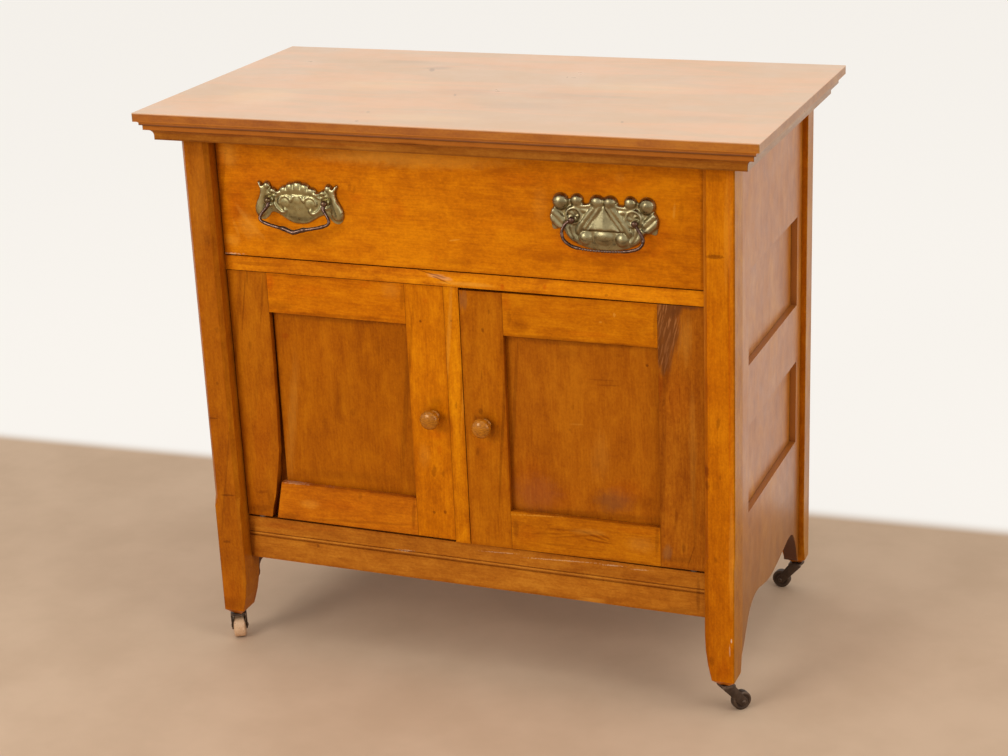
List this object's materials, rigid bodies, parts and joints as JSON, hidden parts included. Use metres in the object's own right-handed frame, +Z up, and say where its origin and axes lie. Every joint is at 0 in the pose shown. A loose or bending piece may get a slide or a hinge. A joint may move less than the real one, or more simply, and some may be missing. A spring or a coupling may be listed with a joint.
{
  "type": "washstand",
  "caption": "Antique oak washstand with a wide drawer over panelled cupboard doors, panelled sides with arched lower edges, ornate bail pulls, wooden knobs and castors.",
  "frame": {"origin": "on the floor under the middle of the top, which is the largest piece each way", "axes": "+X to the right of someone facing the washstand, +Y from its front to its back, +Z up"},
  "size_m": [0.762, 0.419, 0.713],
  "materials": {
    "top_wood": "old shellac, worn pale",
    "frame_wood": "glossy orange shellac over oak",
    "drawer_wood": "glossy orange shellac over oak",
    "panel_wood": "glossy red-brown shellac",
    "side_wood": "shellac over oak",
    "inside_wood": "bare, aged",
    "knob_wood": "turned and varnished",
    "brass": "tarnished stamped brass",
    "bronze": "dark tarnished",
    "iron": "dark, rust-browned",
    "wheel_wood": "worn tan wood"
  },
  "bodies": {
    "carcass": {"top_board": "top_wood", "moulding_front": "frame_wood", "moulding_left": "side_wood", "moulding_right": "side_wood", "top_back_rail": "inside_wood", "post_front_left": "frame_wood", "post_front_right": "frame_wood", "post_back_left": "frame_wood", "post_back_right": "frame_wood", "side_frame_left": "side_wood", "side_frame_right": "side_wood", "side_panel_upper_left": "side_wood", "side_panel_upper_right": "side_wood", "side_panel_lower_left": "side_wood", "side_panel_lower_right": "side_wood", "drawer_rail": "drawer_wood", "bottom_rail": "drawer_wood", "cupboard_floor": "inside_wood", "back_panel": "inside_wood", "drawer_runner_left": "inside_wood", "drawer_runner_right": "inside_wood", "door_stop": "inside_wood"},
    "drawer": {"drawer_front": "drawer_wood", "drawer_side_left": "inside_wood", "drawer_side_right": "inside_wood", "drawer_back": "inside_wood", "drawer_bottom": "inside_wood", "pull_plate_left": "brass", "pull_plate_right": "brass"},
    "left_bail": {"bail_left": "bronze"},
    "right_bail": {"bail_right": "bronze"},
    "left_door": {"left_door_hinge_stile": "frame_wood", "left_door_lock_stile": "frame_wood", "left_door_top_rail": "frame_wood", "left_door_bottom_rail": "frame_wood", "left_door_panel": "panel_wood", "left_door_meeting_strip": "frame_wood", "left_door_knob": "knob_wood", "door_pin_left_top": "iron", "door_pin_left_bottom": "iron"},
    "right_door": {"right_door_hinge_stile": "frame_wood", "right_door_lock_stile": "frame_wood", "right_door_top_rail": "frame_wood", "right_door_bottom_rail": "frame_wood", "right_door_panel": "panel_wood", "right_door_knob": "knob_wood", "door_pin_right_top": "iron", "door_pin_right_bottom": "iron"},
    "castor_front_left": {"castor_fork_front_left": "iron"},
    "wheel_front_left": {"castor_wheel_front_left": "wheel_wood"},
    "castor_front_right": {"castor_fork_front_right": "iron"},
    "wheel_front_right": {"castor_wheel_front_right": "iron"},
    "castor_back_left": {"castor_fork_back_left": "iron"},
    "wheel_back_left": {"castor_wheel_back_left": "iron"},
    "castor_back_right": {"castor_fork_back_right": "iron"},
    "wheel_back_right": {"castor_wheel_back_right": "iron"}
  },
  "joints": [
    {"name": "drawer_slide", "type": "slide", "parent": "carcass", "child": "drawer", "axis": [0, -1, 0], "range_m": [0, 0.26]},
    {"name": "left_bail_swing", "type": "hinge", "parent": "drawer", "child": "left_bail", "pos_m": [-0.198, -0.16, 0.602], "axis": [-1, 0, 0], "range_deg": [0, 140]},
    {"name": "right_bail_swing", "type": "hinge", "parent": "drawer", "child": "right_bail", "pos_m": [0.188, -0.16, 0.602], "axis": [-1, 0, 0], "range_deg": [0, 145]},
    {"name": "left_door_hinge", "type": "hinge", "parent": "carcass", "child": "left_door", "pos_m": [-0.2873, -0.145, 0.18], "axis": [0, 0, -1], "range_deg": [0, 110]},
    {"name": "right_door_hinge", "type": "hinge", "parent": "carcass", "child": "right_door", "pos_m": [0.2873, -0.145, 0.18], "axis": [0, 0, 1], "range_deg": [0, 110]},
    {"name": "castor_front_left_swivel", "type": "hinge", "parent": "carcass", "child": "castor_front_left", "pos_m": [-0.3315, -0.156, 0.04], "axis": [0, 0, 1], "continuous": true},
    {"name": "wheel_front_left_roll", "type": "hinge", "parent": "castor_front_left", "child": "wheel_front_left", "pos_m": [-0.33526, -0.14894, 0.0155], "axis": [-0.8829, -0.4695, 0], "continuous": true},
    {"name": "castor_front_right_swivel", "type": "hinge", "parent": "carcass", "child": "castor_front_right", "pos_m": [0.3285, -0.156, 0.04], "axis": [0, 0, 1], "continuous": true},
    {"name": "wheel_front_right_roll", "type": "hinge", "parent": "castor_front_right", "child": "wheel_front_right", "pos_m": [0.34264, -0.14186, 0.012], "axis": [-0.7071, 0.7071, 0], "continuous": true},
    {"name": "castor_back_left_swivel", "type": "hinge", "parent": "carcass", "child": "castor_back_left", "pos_m": [-0.3285, 0.196, 0.04], "axis": [0, 0, 1], "continuous": true},
    {"name": "wheel_back_left_roll", "type": "hinge", "parent": "castor_back_left", "child": "wheel_back_left", "pos_m": [-0.30971, 0.18916, 0.012], "axis": [0.342, 0.9397, 0], "continuous": true},
    {"name": "castor_back_right_swivel", "type": "hinge", "parent": "carcass", "child": "castor_back_right", "pos_m": [0.3285, 0.196, 0.04], "axis": [0, 0, 1], "continuous": true},
    {"name": "wheel_back_right_roll", "type": "hinge", "parent": "castor_back_right", "child": "wheel_back_right", "pos_m": [0.30861, 0.19809, 0.012], "axis": [-0.1045, -0.9945, 0], "continuous": true}
  ]
}
